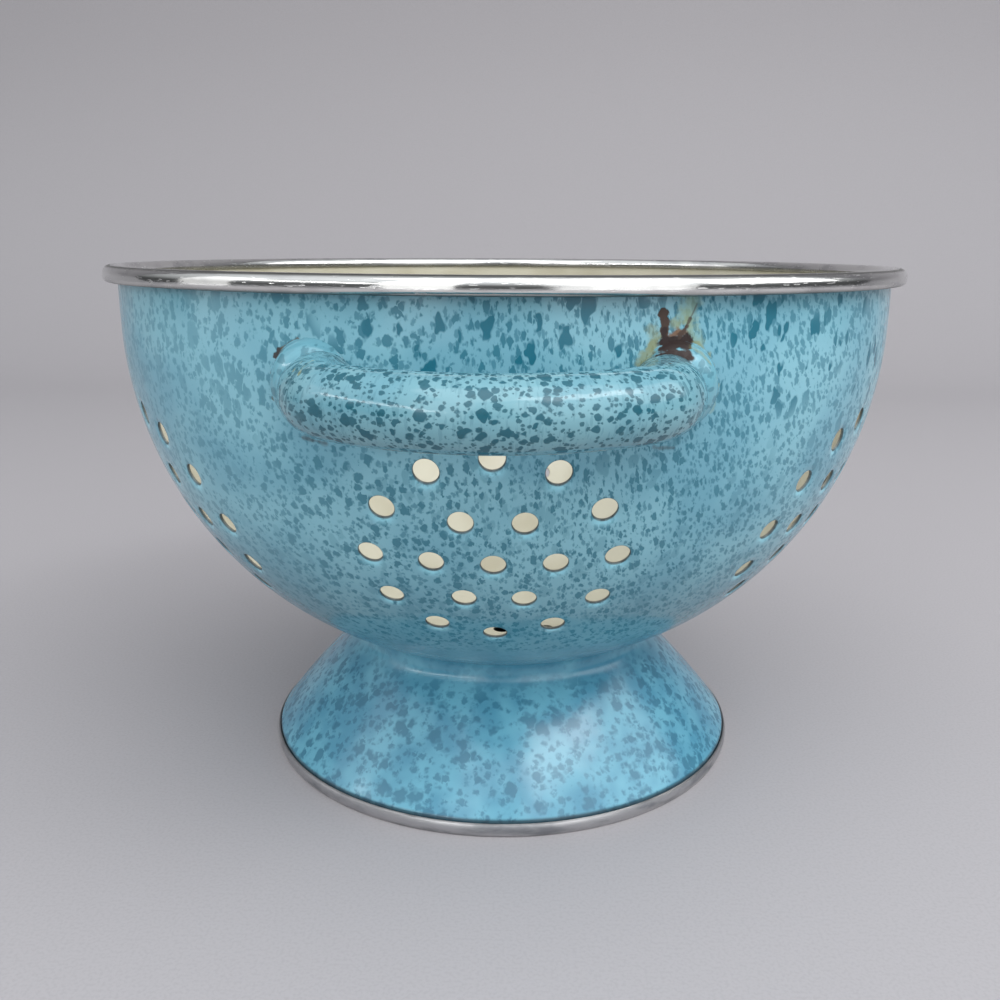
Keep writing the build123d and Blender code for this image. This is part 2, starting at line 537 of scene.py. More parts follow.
@dataclass(frozen=True)
class Sheet:
    """The bowl's pressed sheet: a flat centre, one arc up to the widest point, then a straight wall."""

    thick: float = 1.1 * MM
    radius: float = 116.0 * MM
    flat: float = 6.0 * MM
    base: float = 31.3 * MM
    straight: float = 13.0 * MM
    probe: float = 0.001 * MM
    tries: int = 14
    flattest: float = 0.05

    @property
    def curve(self) -> float:
        """Radius of the arc on the outer skin."""
        return self.radius - self.flat

    @property
    def middle(self) -> float:
        """Height of the arc's middle, where the wall turns straight."""
        return self.base + self.curve

    @property
    def length(self) -> float:
        """Length of the outer skin from the centre of the base to the top of the straight wall."""
        return self.flat + self.curve * QUARTER + self.straight

    def reach_at(self, height: float) -> float:
        """Radius of the outer skin at a height on the arc."""
        return self.flat + math.sqrt(self.curve**2 - (self.middle - height) ** 2)

    def place(self, plan: np.ndarray, depth: float | np.ndarray) -> np.ndarray:
        """Puts points of the sheet, laid out flat, on the bowl.

        A point's distance from the plan's centre is the length s along the outer skin. On the arc the
        turn is (s - flat) / curve, r is flat + (curve - depth) sin turn, and z is the arc's middle less
        (curve - depth) cos turn.

        Args:
            plan: Points of the laid-out sheet, shaped (..., 2).
            depth: Depth in the sheet, from 0 on the outer skin.

        Returns:
            The points, shaped (..., 3).
        """
        s = np.hypot(plan[..., 0], plan[..., 1])
        turn = np.clip((s - self.flat) / self.curve, 0, QUARTER)
        rise = np.maximum(s - self.flat - self.curve * QUARTER, 0)
        r = np.minimum(s, self.flat) + (self.curve - depth) * np.sin(turn)
        z = self.middle - (self.curve - depth) * np.cos(turn) + rise
        share = r / np.maximum(s, TINY)
        return np.stack((plan[..., 0] * share, plan[..., 1] * share, z), axis=-1)

    def lay(self, points: np.ndarray) -> np.ndarray:
        """The place of points of the bowl on the laid-out sheet: what place() turns round."""
        r = np.hypot(points[..., 0], points[..., 1])
        out = r - self.flat
        turn = np.arctan2(np.maximum(out, 0), np.maximum(self.middle - points[..., 2], 0))
        s = np.minimum(r, self.flat) + self.curve * turn * (out > 0)
        s = s + np.maximum(points[..., 2] - self.middle, 0)
        return points[..., :2] * (s / np.maximum(r, TINY))[..., None]

    def under(self, points: np.ndarray) -> np.ndarray:
        """How deep points lie under the outer skin, negative outside it."""
        r = np.hypot(points[..., 0], points[..., 1])
        out, below = np.maximum(r - self.flat, 0), np.maximum(self.middle - points[..., 2], 0)
        return self.curve - np.hypot(out, below)

    def pierce(self, start: np.ndarray, way: np.ndarray, depth: float | np.ndarray) -> np.ndarray:
        """Where straight lines go through the sheet at a depth, by secant steps along each line.

        The slope is taken over the probe's length, and the flattest slope is the least that is used.
        """
        point = start
        for _ in range(self.tries):
            miss = self.under(point) - depth
            slope = (self.under(point + way * self.probe) - self.under(point)) / self.probe
            slope = np.where(np.abs(slope) < self.flattest, self.flattest, slope)
            point = point - way * (miss / slope)[..., None]
        return point


# Finishes


@dataclass(frozen=True)
class Stain:
    """A mark along a line, mostly wear or rust and in two places a painted shadow: its ends and half its
    width in millimetres on the object's axes.
    """

    start: Triple
    end: Triple
    reach: float
    colour: Colour
    strength: float = 1.0
    soft: float = 0.5


RUST = paint(38, 24, 22)
UMBER = paint(64, 48, 40)
ORANGE = paint(118, 78, 44)
YELLOW = paint(134, 138, 92)
TARNISH = paint(138, 164, 138)
SEAM = paint(92, 88, 74)
# Dark chips; the same colour paints the shadow under each handle end.
CHIP_AND_SHADOW = paint(58, 58, 58)


@dataclass(frozen=True)
class Glaze:
    """The glassy skin of an enamel: slow waves and a fine grain, its gloss, and what wear does to it."""

    wave: float
    grain: float
    grain_share: float
    relief: float
    gloss: float
    drop_rough: float
    wear_depth: float = 0.0
    wear_rough: float = 0.5

    def cover(
        self, board: Board, colour: Tone, drops: Tone, worn: Tone | float = 0.0, bare: Tone | float = 0.0
    ) -> bpy.types.Material:
        """Finishes an enamel.

        Args:
            board: The material's board.
            colour: The colour under the glaze.
            drops: 1 where a sprayed drop lies.
            worn: How deep the enamel is worn.
            bare: How rough the wear has left it.

        Returns:
            The finished material.
        """
        skin = board.cloud(board.where, self.wave, 1.0)
        skin = skin + self.grain_share * board.cloud(board.where, self.grain)
        rough = self.gloss + self.drop_rough * drops + self.wear_rough * bare
        normal = board.bump(skin - self.wear_depth * worn, self.relief)
        return board.finish(colour, rough, Normal=normal)


@dataclass(frozen=True)
class BowlEnamel:
    """Light blue enamel sprayed with teal drops, off-white inside, worn to rust in places; painted shade low
    on the wall, in the hole walls and under the handle ends, and a painted highlight below each hole.
    """

    pale: Colour = paint(128, 182, 197)
    ground: Colour = paint(106, 163, 182)
    drop: Colour = paint(32, 106, 126)
    fine_drop: Colour = paint(48, 115, 135)
    # Painted shade: the lower wall, which faces down, is laid darker.
    low_painted_shade: Colour = paint(92, 142, 158)
    neck_band: Colour = paint(88, 142, 162)
    cream: Colour = paint(196, 193, 176)
    cream_shade: Colour = paint(180, 175, 155)
    # Dark hole walls: bare metal in part, and painted shade inside each hole.
    bare_and_shaded_edge: Colour = paint(56, 50, 42)
    # Painted highlight: a pale crescent on the dish below each hole, where the lip faces up to the light.
    lip_highlight: Colour = paint(146, 210, 226)
    large: Spray = Spray(4.2 * MM, 0.50, 0.20, 0.06)
    middle: Spray = Spray(2.5 * MM, 0.53, 0.20, 0.09)
    small: Spray = Spray(1.6 * MM, 0.52, 0.20, 0.13)
    large_stretch: Triple = (1.0, 1.0, 0.6)
    small_stretch: Triple = (1.0, 1.0, 0.8)
    lean: Triple = (0.4, 0.0, 0.0)
    lean_across: Range = (-20 * MM, 80 * MM)
    under_rim: Range = (108 * MM, 134 * MM)
    left_side: Range = (-85 * MM, -20 * MM)
    right_side: Range = (30 * MM, 85 * MM)
    lower_wall: Range = (62 * MM, 96 * MM)
    neck: Triple = (44 * MM, 56 * MM, 3 * MM)
    patch: float = 22 * MM
    patch_range: Range = (0.3, 0.5)
    shade: float = 30 * MM
    shade_range: Range = (0.35, 0.65)
    cream_range: Range = (0.4, 0.7)
    large_low: float = 0.3
    large_left: float = 0.3
    middle_cover: float = 0.86
    middle_left_loss: float = 0.45
    middle_right_loss: float = 0.25
    small_cover: float = 0.68
    small_left_loss: float = 0.2
    neck_cover: float = 0.2
    band_share: float = 0.7
    middle_dark: float = 0.7
    high_pale: float = 0.35
    lip_highlight_range: Range = (0.36, 0.5)
    lip_highlight_share: float = 0.9
    edge_share: float = 0.75
    bare_and_shaded_wander: float = 0.5
    wander: float = 2.2 * MM
    glaze: Glaze = Glaze(14 * MM, 1.6 * MM, 0.12, 0.35 * MM, gloss=0.16, drop_rough=0.1, wear_depth=0.35)
    stains: tuple[Stain, ...] = (
        Stain((42.7, -107.8, 151.4), (41.6, -108.2, 146.8), 3.4, TARNISH, 0.6, 1.1),
        Stain((41.6, -108.2, 146.8), (43.8, -107.4, 142.6), 3.0, TARNISH, 0.6, 1.1),
        Stain((34.9, -110.6, 145.6), (34.4, -110.8, 141.8), 2.4, YELLOW, 0.5, 1.1),
        Stain((35.8, -110.3, 143.6), (31.9, -111.5, 138.7), 1.5, YELLOW, 0.7, 0.9),
        Stain((38.6, -109.4, 146.4), (41.4, -108.4, 146.4), 1.6, YELLOW, 0.5, 1.1),
        Stain((36.5, -110.1, 148.2), (36.8, -110.0, 145.0), 1.35, UMBER, 1.0, 0.35),
        Stain((36.8, -110.0, 145.0), (37.2, -109.8, 142.6), 0.9, RUST, 1.0, 0.5),
        Stain((38.4, -109.4, 143.9), (41.0, -108.5, 144.6), 1.3, ORANGE, 0.9, 0.8),
        Stain((36.2, -110.2, 142.4), (42.0, -108.1, 143.0), 1.5, RUST, 1.0, 0.6),
        Stain((40.4, -108.8, 143.6), (41.6, -108.3, 145.6), 0.8, UMBER, 0.9, 0.6),
        Stain((41.4, -108.4, 145.2), (42.6, -107.9, 147.4), 0.5, UMBER, 0.8, 0.7),
        Stain((42.6, -107.9, 147.4), (43.9, -107.4, 150.4), 0.3, UMBER, 0.6, 0.9),
        Stain((44.2, -107.2, 141.7), (47.0, -105.9, 139.4), 1.0, YELLOW, 0.7, 0.9),
        Stain((47.0, -105.9, 139.4), (49.9, -104.5, 132.6), 0.9, YELLOW, 0.65, 0.9),
        Stain((48.6, -105.2, 136.6), (50.0, -104.4, 131.4), 0.4, SEAM, 0.8, 0.7),
        Stain((49.9, -104.4, 130.6), (49.0, -104.6, 126.2), 0.7, YELLOW, 0.35, 1.0),
        Stain((-42.9, -107.7, 142.3), (-46.8, -106.0, 140.0), 0.55, SEAM, 0.8, 0.7),
        Stain((-46.8, -106.0, 140.0), (-49.8, -104.6, 134.4), 0.6, SEAM, 0.9, 0.7),
        Stain((-49.8, -104.6, 134.4), (-50.0, -104.2, 128.6), 0.6, SEAM, 0.8, 0.7),
        Stain((-47.6, -105.6, 139.6), (-48.3, -105.3, 138.4), 0.85, CHIP_AND_SHADOW, 1.0, 0.4),
        Stain((-30.9, -98.3, 89.9), (-30.7, -98.3, 88.9), 0.7, UMBER, 0.9, 0.6),
        # Painted shadow, with some rust, under each handle end where its collar meets the wall.
        Stain((-43.4, -105.3, 119.9), (-37.6, -107.4, 119.1), 0.7, CHIP_AND_SHADOW, 0.6, 1.1),
        Stain((35.8, -107.8, 118.9), (40.6, -106.1, 118.5), 0.6, CHIP_AND_SHADOW, 0.5, 1.1),
    )

    def material(self) -> bpy.types.Material:
        """Builds the enamel of the bowl from the piece's place and the marks that it carries."""
        board = Board("bowl_enamel")
        across, _, height = board.parts(board.where)
        tall = board.stretched(board.where, self.large_stretch)
        upright = board.stretched(board.where, self.small_stretch)
        lean = board.scaled(self.lean, height * across.above(*self.lean_across))
        slanted = board.vector("ADD", upright, lean)
        high = height.above(*self.under_rim)
        left = across.below(*self.left_side)
        right = across.above(*self.right_side)
        neck = height.within(*self.neck)
        wander = board.cloud(board.where, self.wander, 3.0)
        shade = board.cloud(board.where, self.shade)

        middle = board.drops(slanted, self.middle)
        strong = board.drops(tall, self.large) * (self.large_low + (1 - self.large_low) * high)
        strong = strong * (1 - (1 - self.large_left) * left)
        strong = strong * board.cloud(board.where, self.patch, 1.0).above(*self.patch_range)
        medium = middle * (self.middle_cover - self.middle_left_loss * left - self.middle_right_loss * right)
        faint = board.drops(slanted, self.small) * (self.small_cover - self.small_left_loss * left)
        cover = strong.or_more(medium).or_more(faint) * (1 - (1 - self.neck_cover) * neck)

        ground = board.blend(self.ground, self.pale, shade.above(*self.shade_range))
        ground = board.blend(ground, self.pale, high * (self.high_pale - self.high_pale * left))
        # Painted shade low on the wall.
        ground = board.blend(ground, self.low_painted_shade, height.below(*self.lower_wall) * self.band_share)
        ground = board.blend(ground, self.neck_band, neck * self.band_share)
        drops = board.blend(self.fine_drop, self.drop, strong.or_more(middle * self.middle_dark))
        colour = board.blend(ground, drops, cover)
        # Painted highlight on the dish below each hole.
        lip_highlight = board.mark("lip_highlight") * wander.above(*self.lip_highlight_range) * self.lip_highlight_share
        colour = board.blend(colour, self.lip_highlight, lip_highlight)
        colour, worn = board.stained(colour, self.stains, wander)

        cream = board.blend(self.cream, self.cream_shade, shade.above(*self.cream_range))
        colour = board.blend(colour, cream, board.mark("inside"))
        # Dark hole walls, partly bare metal and partly painted shade.
        edge = board.mark("edge") * (self.edge_share + self.bare_and_shaded_wander * (wander - NOISE_MIDDLE))
        colour = board.blend(colour, self.bare_and_shaded_edge, edge)
        return self.glaze.cover(board, colour, cover, worn, worn.or_more(edge))


@dataclass(frozen=True)
class FootEnamel:
    """The foot's enamel: bluer, with larger and softer drops."""

    ground: Colour = paint(98, 163, 185)
    deep: Colour = paint(74, 139, 165)
    drop: Colour = paint(40, 100, 126)
    edge_line: Colour = paint(38, 52, 60)
    large: Spray = Spray(4.6 * MM, 0.52, 0.22, 0.14)
    small: Spray = Spray(2.4 * MM, 0.54, 0.22, 0.18)
    large_cover: float = 0.75
    small_cover: float = 0.65
    # Fewer drops at the throat: thick glaze there, and a painted highlight where the throat catches the
    # light.
    throat: Range = (30 * MM, 36 * MM)
    throat_cover: float = 0.35
    edge_range: Range = (4.7 * MM, 5.6 * MM)
    edge_share: float = 0.85
    shade: float = 14 * MM
    shade_range: Range = (0.35, 0.65)
    glaze: Glaze = Glaze(12 * MM, 2 * MM, 0.1, 0.16 * MM, gloss=0.17, drop_rough=0.1)

    def material(self) -> bpy.types.Material:
        """Builds the enamel of the foot."""
        board = Board("foot_enamel")
        _, _, height = board.parts(board.where)
        shade = board.cloud(board.where, self.shade).above(*self.shade_range)
        large = board.drops(board.where, self.large) * self.large_cover
        small = board.drops(board.where, self.small) * self.small_cover
        # Paler throat, partly a painted highlight.
        below = self.throat_cover + (1 - self.throat_cover) * height.below(*self.throat)
        cover = large.or_more(small) * below
        colour = board.blend(board.blend(self.ground, self.deep, shade), self.drop, cover)
        colour = board.blend(colour, self.edge_line, height.below(*self.edge_range) * self.edge_share)
        return self.glaze.cover(board, colour, cover)


@dataclass(frozen=True)
class HandleEnamel:
    """Paler enamel on the tube, with sharp drops, fine specks and streaks round the tube near its ends."""

    ground: Colour = paint(114, 161, 173)
    cool: Colour = paint(100, 151, 166)
    drop: Colour = paint(26, 88, 104)
    speck: Colour = paint(26, 84, 98)
    collar: Colour = paint(108, 164, 180)
    # Painted shade in the crease where the tube meets the top of each collar.
    crease_shade: Colour = paint(62, 84, 88)
    large: Spray = Spray(3.4 * MM, 0.42, 0.14, 0.04)
    middle: Spray = Spray(2.1 * MM, 0.5, 0.12, 0.06)
    specks: Spray = Spray(1.05 * MM, 0.48, 0.12, 0.1)
    streaks: Spray = Spray(1.9 * MM, 0.54, 0.16, 0.07)
    streak_stretch: Triple = (2.6, 0.5, 0.5)
    large_end_loss: float = 0.8
    middle_cover: float = 0.95
    middle_end_loss: float = 0.4
    streak_cover: float = 0.2
    streak_end_gain: float = 0.75
    speck_cover: float = 0.85
    collar_cover: float = 0.5
    crease_shade_left: Range = (-20 * MM, 20 * MM)
    crease_shade_shares: Range = (0.2, 0.5)
    shade: float = 14 * MM
    shade_range: Range = (0.35, 0.65)
    wander: float = 2.2 * MM
    glaze: Glaze = Glaze(8 * MM, 1.5 * MM, 0.1, 0.25 * MM, gloss=0.12, drop_rough=0.12, wear_depth=0.5)
    stains: tuple[Stain, ...] = (
        Stain((34.0, -111.4, 140.6), (32.2, -111.8, 138.6), 1.2, YELLOW, 0.7, 0.9),
        Stain((38.0, -110.4, 142.3), (40.4, -110.0, 142.3), 0.9, UMBER, 0.9, 0.7),
        Stain((35.0, -112.8, 140.2), (41.9, -112.6, 140.2), 1.45, RUST, 1.0, 0.5),
        Stain((36.6, -111.0, 141.6), (41.6, -110.4, 141.9), 1.3, RUST, 1.0, 0.5),
        Stain((36.4, -109.6, 142.6), (41.8, -108.8, 142.8), 1.6, RUST, 1.0, 0.5),
        Stain((39.6, -110.6, 142.2), (40.6, -111.2, 141.6), 0.9, RUST, 0.8, 0.6),
        Stain((43.2, -110.4, 141.3), (46.6, -110.6, 138.0), 1.1, YELLOW, 0.45, 1.1),
        Stain((46.6, -110.6, 138.0), (48.6, -109.4, 133.0), 0.8, YELLOW, 0.45, 1.0),
        Stain((-46.0, -109.2, 139.8), (-47.9, -108.6, 137.4), 0.6, SEAM, 0.7, 0.7),
        Stain((-46.6, -108.8, 139.6), (-47.2, -108.4, 138.8), 0.8, CHIP_AND_SHADOW, 1.0, 0.4),
        Stain((-37.9, -130.6, 137.6), (-36.0, -125.4, 139.7), 0.45, YELLOW, 0.6, 0.8),
        Stain((-39.6, -127.6, 137.9), (-38.4, -124.0, 139.2), 0.4, YELLOW, 0.5, 0.8),
    )

    def material(self) -> bpy.types.Material:
        """Builds the enamel of a handle; the piece carries the place round and along its tube."""
        board = Board("handle_enamel")
        wrap = board.mark("wrap", "Vector")
        tube = board.mark("tube")
        ends = board.mark("ends")
        across = board.parts(board.where)[0]
        shade = board.cloud(board.where, self.shade).above(*self.shade_range)
        large = board.drops(wrap, self.large) * (1 - self.large_end_loss * ends)
        middle = board.drops(wrap, self.middle) * (self.middle_cover - self.middle_end_loss * ends)
        streaks = board.drops(board.stretched(wrap, self.streak_stretch), self.streaks)
        streaks = streaks * (self.streak_cover + self.streak_end_gain * ends)
        cover = large.or_more(middle).or_more(streaks)
        on_tube = self.collar_cover + (1 - self.collar_cover) * tube
        ground = board.blend(self.collar, board.blend(self.ground, self.cool, shade), tube)
        colour = board.blend(ground, self.drop, cover * on_tube)
        colour = board.blend(colour, self.speck, board.drops(wrap, self.specks) * self.speck_cover * tube)
        # Painted shade in the crease at each collar's top, stronger on the left.
        least, more = self.crease_shade_shares
        crease_shade = board.mark("crease_shade") * (least + more * across.below(*self.crease_shade_left))
        colour = board.blend(colour, self.crease_shade, crease_shade)
        colour, worn = board.stained(colour, self.stains, board.cloud(board.where, self.wander, 3.0))
        return self.glaze.cover(board, colour, cover, worn, worn)


@dataclass(frozen=True)
class BandSteel:
    """Stainless band: scratches run along it, and its folds hold some grime; on the bright band the same
    dark colour paints shade under its lower edge and a dark reflection along its brow.
    """

    name: str
    bright: Colour
    dull: Colour
    grime_and_shade: Colour
    smooth: float
    worn: float
    waves: float
    hairs: float = 0.28 * MM
    hair_run: float = 0.06
    hair_depth: float = 0.02
    smears: float = 5 * MM
    smear_run: float = 0.35
    dull_range: Range = (0.45, 0.7)
    worn_range: Range = (0.4, 0.75)
    scratches: float = 0.5 * MM
    scratch_run: float = 0.12
    scratch_range: Range = (0.64, 0.70)
    scratch_rough: float = 0.18
    scratch_depth: float = 0.03
    fold_rough: float = 0.3
    lumps: float = 7 * MM
    lump_stretch: Triple = (1.0, 0.5, 0.5)
    relief: float = 0.5 * MM

    def material(self) -> bpy.types.Material:
        """Builds the steel of a band; the piece carries the place along and across the band."""
        board = Board(self.name)
        wrap = board.mark("wrap", "Vector")
        fold = board.mark("fold")
        hairs = board.cloud(board.stretched(wrap, (self.hair_run, 1.0, 1.0)), self.hairs, 3.0)
        smears = board.cloud(board.stretched(wrap, (self.smear_run, 1.0, 1.0)), self.smears, 3.0)
        lines = board.cloud(board.stretched(wrap, (self.scratch_run, 1.0, 1.0)), self.scratches, 1.0)
        scratch = lines.above(*self.scratch_range)
        lumps = board.cloud(board.stretched(wrap, self.lump_stretch), self.lumps)
        colour = board.blend(self.bright, self.dull, smears.above(*self.dull_range))
        # Grime in the folds; on the bright band also painted shade under its edge and a painted dark
        # reflection along its brow.
        colour = board.blend(colour, self.grime_and_shade, fold)
        rough = self.smooth + self.worn * smears.above(*self.worn_range)
        rough = rough + self.scratch_rough * scratch + self.fold_rough * fold
        height = lumps * self.waves + hairs * self.hair_depth - self.scratch_depth * scratch
        return board.finish(colour, rough, Metallic=1.0, Normal=board.bump(height, self.relief))


POLISHED = BandSteel(
    "polished_band", paint(222, 222, 220), paint(196, 196, 196), paint(58, 60, 52), 0.07, 0.10, 0.05
)
DULL = BandSteel(
    "dull_band", paint(190, 190, 192), paint(146, 148, 152), paint(70, 70, 68), 0.34, 0.2, 0.4
)


# Pieces


@dataclass
class Bowl:
    """The perforated bowl: two skins, 121 drawn-in holes between them, and the turned edge in the band."""

    sheet: Sheet = field(default_factory=Sheet)
    hole: float = 3.0 * MM
    pitch: float = 14.8 * MM
    rosettes: int = 6
    first_ring: int = 6
    tilt: float = math.radians(61.6)
    dish: float = 5.4 * MM
    dish_rings: tuple[float, ...] = (4.8 * MM, 4.2 * MM, 3.7 * MM)
    dish_depth: float = 0.32 * MM
    lip: float = 0.3 * MM
    inner_lip: float = 0.2 * MM
    inner_reach: float = 4.2 * MM
    hole_steps: int = 32
    brow_steps: int = 3
    back_steps: int = 2
    spacing: float = 3.2 * MM
    fewest: int = 6
    clear_share: float = 0.35
    merge: float = 1e-7
    bend: float = 0.6 * MM
    flange: float = 1.1 * MM
    lip_drop: float = 1.1 * MM
    bend_steps: int = 3
    fold_steps: int = 4
    inside_rows: tuple[float, ...] = (0, 0, 0, 0, 0, 0, 0.2, 1, 1, 1)
    # Share of the dark hole wall, bare metal and painted shade, on each row of a hole.
    bare_and_shaded_rows: tuple[float, ...] = (0, 0, 0, 0, 0.75, 1, 1, 0.9, 0.35, 0)
    # Share of the painted highlight on each row of a hole.
    lip_highlight_rows: tuple[float, ...] = (0.2, 0.6, 1, 1, 0.3, 0, 0, 0, 0, 0)
    lip_highlight_start: float = 0.5
    base_facing: float = -0.9

    def punches(self) -> tuple[np.ndarray, np.ndarray, np.ndarray, np.ndarray]:
        """The middles of all holes, and for each the way aside, the way up the wall, and outwards."""
        inner, outer = round_angles(self.first_ring), round_angles(2 * self.first_ring)
        small = np.concatenate((np.zeros((1, 2)), self.pitch * on_circle(inner)))
        large = np.concatenate((small, 2 * self.pitch * on_circle(outer)))
        turn = round_angles(self.rosettes) - QUARTER
        level = 0 * turn
        ahead = np.stack((np.cos(turn), np.sin(turn), level), axis=-1)
        aside = np.stack((-np.sin(turn), np.cos(turn), level), axis=-1)
        out = ahead * math.sin(self.tilt) - np.array((0, 0, math.cos(self.tilt)))
        reach = self.sheet.flat + self.sheet.curve * math.sin(self.tilt)
        low = self.sheet.middle - self.sheet.curve * math.cos(self.tilt)
        origin = ahead * reach + np.array((0, 0, low))
        aside = np.vstack((aside, (1, 0, 0)))
        out = np.vstack((out, (0, 0, -1)))
        origin = np.vstack((origin, (0, 0, self.sheet.base)))
        counts = [len(large)] * self.rosettes + [len(small)]
        local = np.concatenate([large] * self.rosettes + [small])
        origin, aside, out = (np.repeat(way, counts, axis=0) for way in (origin, aside, out))
        up = np.cross(out, aside)
        return origin + local[:, :1] * aside + local[:, 1:] * up, aside, up, out

    def hole_rows(self) -> tuple[np.ndarray, np.ndarray]:
        """Radius and depth of each ring of points of a hole, from the dished outer skin to the inner skin.

        The dish sinks with the square of the way in. A quarter round turns it into the hole's wall, and a
        smaller one turns the wall into the inner skin.
        """
        brow = self.hole + self.lip
        dish = np.array((self.dish, *self.dish_rings, brow))
        sunk = self.dish_depth * ((self.dish - dish) / (self.dish - self.hole)) ** 2
        turn = np.linspace(0, QUARTER, self.brow_steps + 1)[1:]
        back = np.linspace(0, QUARTER, self.back_steps + 1)
        radius = np.concatenate(
            (dish, brow - self.lip * np.sin(turn), self.hole + self.inner_lip * (1 - np.cos(back)))
        )
        depth = np.concatenate(
            (
                sunk,
                sunk[-1] + self.lip * (1 - np.cos(turn)),
                self.sheet.thick - self.inner_lip + self.inner_lip * np.sin(back),
            )
        )
        return np.append(radius, self.inner_reach), np.append(depth, self.sheet.thick)

    def net(self, rings: np.ndarray, middles: np.ndarray, facing: Facing) -> tuple[np.ndarray, np.ndarray]:
        """Triangles of one skin between its hole rings and its top, on the laid-out sheet.

        Rings of free points about a spacing apart fill the plan; those near a hole are left out. A
        constrained triangulation joins all points, and the triangles inside a hole are dropped.

        Args:
            rings: The hole rings on the plan, shaped (holes, steps, 2).
            middles: The holes' middles on the plan.
            facing: Which way the triangles turn.

        Returns:
            The free points on the plan, and the triangles. Ring points are numbered first, then the top's
            points, then the free ones.
        """
        span = self.sheet.length
        top = span * on_circle(round_angles())
        free = [np.zeros((1, 2))]
        for k, s in enumerate(np.linspace(0, span, round(span / self.spacing) + 1)[1:-1]):
            r = float(np.hypot(*self.sheet.place(np.array((s, 0.0)), 0.0)[:2]))
            count = max(self.fewest, round(TURN * r / self.spacing))
            angle = (np.arange(count) + (k % 2) / 2) * TURN / count
            free.append(s * on_circle(angle))
        loose = np.concatenate(free)
        reach = np.linalg.norm(rings - middles[:, None], axis=-1).max()
        away = np.linalg.norm(loose[:, None] - middles, axis=-1).min(axis=1)
        loose = loose[away > reach + self.clear_share * self.spacing]
        count, steps = rings.shape[:2]
        plan = np.concatenate((rings.reshape(-1, 2), top, loose))
        numbers = np.arange(count * steps).reshape(count, steps)
        edges = np.stack((numbers, np.roll(numbers, -1, axis=1)), axis=-1).reshape(-1, 2)
        coarse = (plan / span).tolist()
        joined = delaunay_2d_cdt(coarse, edges.tolist(), [], 0, self.merge, False)
        triangles = np.array(joined[2])
        owner = np.full(len(plan), -1)
        owner[: count * steps] = np.repeat(np.arange(count), steps)
        own = owner[triangles]
        inside = (own[:, 0] >= 0) & (own[:, 0] == own[:, 1]) & (own[:, 1] == own[:, 2])
        triangles = triangles[~inside]
        corner = plan[triangles]
        first, second = corner[:, 1] - corner[:, 0], corner[:, 2] - corner[:, 0]
        area = first[:, 0] * second[:, 1] - first[:, 1] * second[:, 0]
        wrong = np.sign(area) != facing.value
        triangles[wrong] = triangles[wrong][:, ::-1]
        return loose, triangles

    def turned_edge(self) -> np.ndarray:
        """Section (r, z) of the edge between the two skins: out, down, and back over itself."""
        sheet, bend, thick = self.sheet, self.bend, self.sheet.thick
        z = sheet.middle + sheet.straight
        near, far = sheet.radius + bend, sheet.radius + bend + self.flange
        end = z - self.lip_drop
        return np.concatenate(
            (
                arc((near, z), bend, math.pi, QUARTER, self.bend_steps)[1:],
                arc((far, z), bend, QUARTER, 0, self.bend_steps),
                np.array(((far + bend, end), (far + bend + thick, end))),
                arc((far, z), bend + thick, 0, QUARTER, self.fold_steps),
                arc((near, z), bend + thick, QUARTER, math.pi, self.fold_steps)[:-1],
            )
        )

    def build(self) -> bpy.types.Object:
        """Builds the bowl as one closed surface with the marks that its enamel needs."""
        sheet = self.sheet
        middles, aside, up, out = self.punches()
        radius, depth = self.hole_rows()
        turn = round_angles(self.hole_steps)
        spoke = np.cos(turn)[:, None] * aside[:, None] + np.sin(turn)[:, None] * up[:, None]
        start = middles[:, None, None] + radius[:, None, None] * spoke[:, None]
        way = np.broadcast_to(out[:, None, None], start.shape)
        rings = sheet.pierce(start, way, np.broadcast_to(depth[:, None], start.shape[:-1]))
        centres = sheet.lay(sheet.pierce(middles, out, 0.0))

        outer_free, outer_faces = self.net(sheet.lay(rings[:, 0]), centres, Facing.DOWN)
        inner_free, inner_faces = self.net(sheet.lay(rings[:, -1]), centres, Facing.UP)
        top = sheet.length * on_circle(round_angles())
        edge_points = revolved(self.turned_edge())[0]
        blocks = (
            rings[:, 0].reshape(-1, 3),
            sheet.place(top, 0.0),
            sheet.place(outer_free, 0.0),
            rings[:, -1].reshape(-1, 3),
            sheet.place(top, sheet.thick),
            sheet.place(inner_free, sheet.thick),
            rings[:, 1:-1].reshape(-1, 3),
            edge_points.reshape(-1, 3),
        )
        first = np.cumsum([0] + [len(block) for block in blocks])
        holes, rows, steps = rings.shape[:3]
        ring_numbers = np.arange(holes * steps).reshape(holes, 1, steps)
        between = first[6] + np.arange(holes * (rows - 2) * steps).reshape(holes, rows - 2, steps)
        strips = np.concatenate((ring_numbers, between, first[3] + ring_numbers), axis=1)
        brim = np.vstack(
            (
                first[1] + np.arange(ROUND_STEPS),
                first[7] + np.arange(edge_points.shape[0] * ROUND_STEPS).reshape(-1, ROUND_STEPS),
                first[4] + np.arange(ROUND_STEPS),
            )
        )
        points = np.concatenate(blocks)
        faces = (outer_faces, inner_faces + first[3], grid_faces(strips), grid_faces(brim))

        inside, rim, lip_highlight = (np.zeros(len(points)) for _ in range(3))
        inside[first[3] : first[6]] = 1
        # The painted highlight lies on the lower side of each hole, and not on the holes of the base.
        low = np.clip(-np.sin(turn) - self.lip_highlight_start, 0, 1) / (1 - self.lip_highlight_start)
        low = low * (out[:, 2] > self.base_facing)[:, None]
        inside[between] = np.array(self.inside_rows)[:, None]
        rim[between] = np.array(self.bare_and_shaded_rows)[:, None]
        lip_highlight[between] = np.array(self.lip_highlight_rows)[:, None] * low[:, None, :]
        return make_piece("bowl_shell", points, faces, {"inside": inside, "edge": rim, "lip_highlight": lip_highlight})


